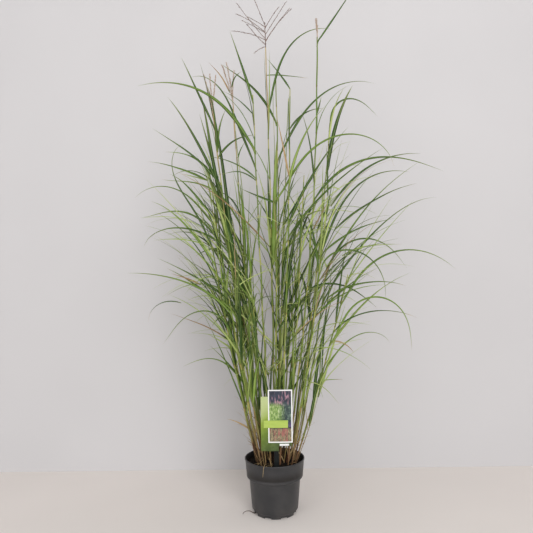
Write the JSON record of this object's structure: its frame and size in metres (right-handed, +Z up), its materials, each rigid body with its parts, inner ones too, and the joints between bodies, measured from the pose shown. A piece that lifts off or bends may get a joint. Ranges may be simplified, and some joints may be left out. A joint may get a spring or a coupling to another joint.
{
  "type": "potted ornamental grass",
  "caption": "Tall ornamental grass clump in a round tapered nursery pot, with arching leaf blades, feathery plumes and a plant label staked in the soil.",
  "frame": {"origin": "centre of the pot's underside, on the floor", "axes": "+Z up along the pot's axis, -Y towards the side the plant label faces"},
  "size_m": [0.9049, 0.5875, 1.4607],
  "materials": {
    "pot_plastic": "dark grey moulded plastic, slightly satin",
    "soil": "dark brown crumbly potting compost with bark",
    "culm": "smooth yellow-green stems, tan to reddish brown at the foot",
    "blade": "satin green leaf with a pale midrib",
    "plume": "fine purplish brown flower branches",
    "label_green": "printed green plastic",
    "card_print": "printed card with a white border",
    "strip_lime": "lime-green printed strip"
  },
  "bodies": {
    "root": {"nursery_pot": "pot_plastic", "potting_soil": "soil", "label_backing_with_stake": "label_green", "picture_card": "card_print", "name_strip": "strip_lime", "culm_01": "culm", "culm_02": "culm", "culm_03": "culm", "culm_04": "culm", "culm_05": "culm", "culm_06": "culm", "culm_07": "culm", "culm_08": "culm", "culm_09": "culm", "culm_10": "culm", "culm_11": "culm", "culm_12": "culm", "culm_13": "culm", "culm_14": "culm", "culm_15": "culm", "culm_16": "culm", "culm_17": "culm", "culm_18": "culm", "leaf_01": "blade", "leaf_02": "blade", "leaf_03": "blade", "leaf_04": "blade", "leaf_05": "blade", "leaf_06": "blade", "leaf_07": "blade", "leaf_08": "blade", "leaf_09": "blade", "leaf_10": "blade", "leaf_11": "blade", "leaf_12": "blade", "leaf_13": "blade", "leaf_14": "blade", "leaf_15": "blade", "leaf_16": "blade", "leaf_17": "blade", "leaf_18": "blade", "leaf_19": "blade", "leaf_20": "blade", "leaf_21": "blade", "leaf_22": "blade", "leaf_23": "blade", "leaf_24": "blade", "leaf_25": "blade", "leaf_26": "blade", "leaf_27": "blade", "leaf_28": "blade", "leaf_29": "blade", "leaf_30": "blade", "leaf_31": "blade", "leaf_32": "blade", "leaf_33": "blade", "open_plume": "plume", "half_open_plume_left": "plume", "half_open_plume_back": "plume", "closed_plume_right": "plume"}
  },
  "joints": []
}
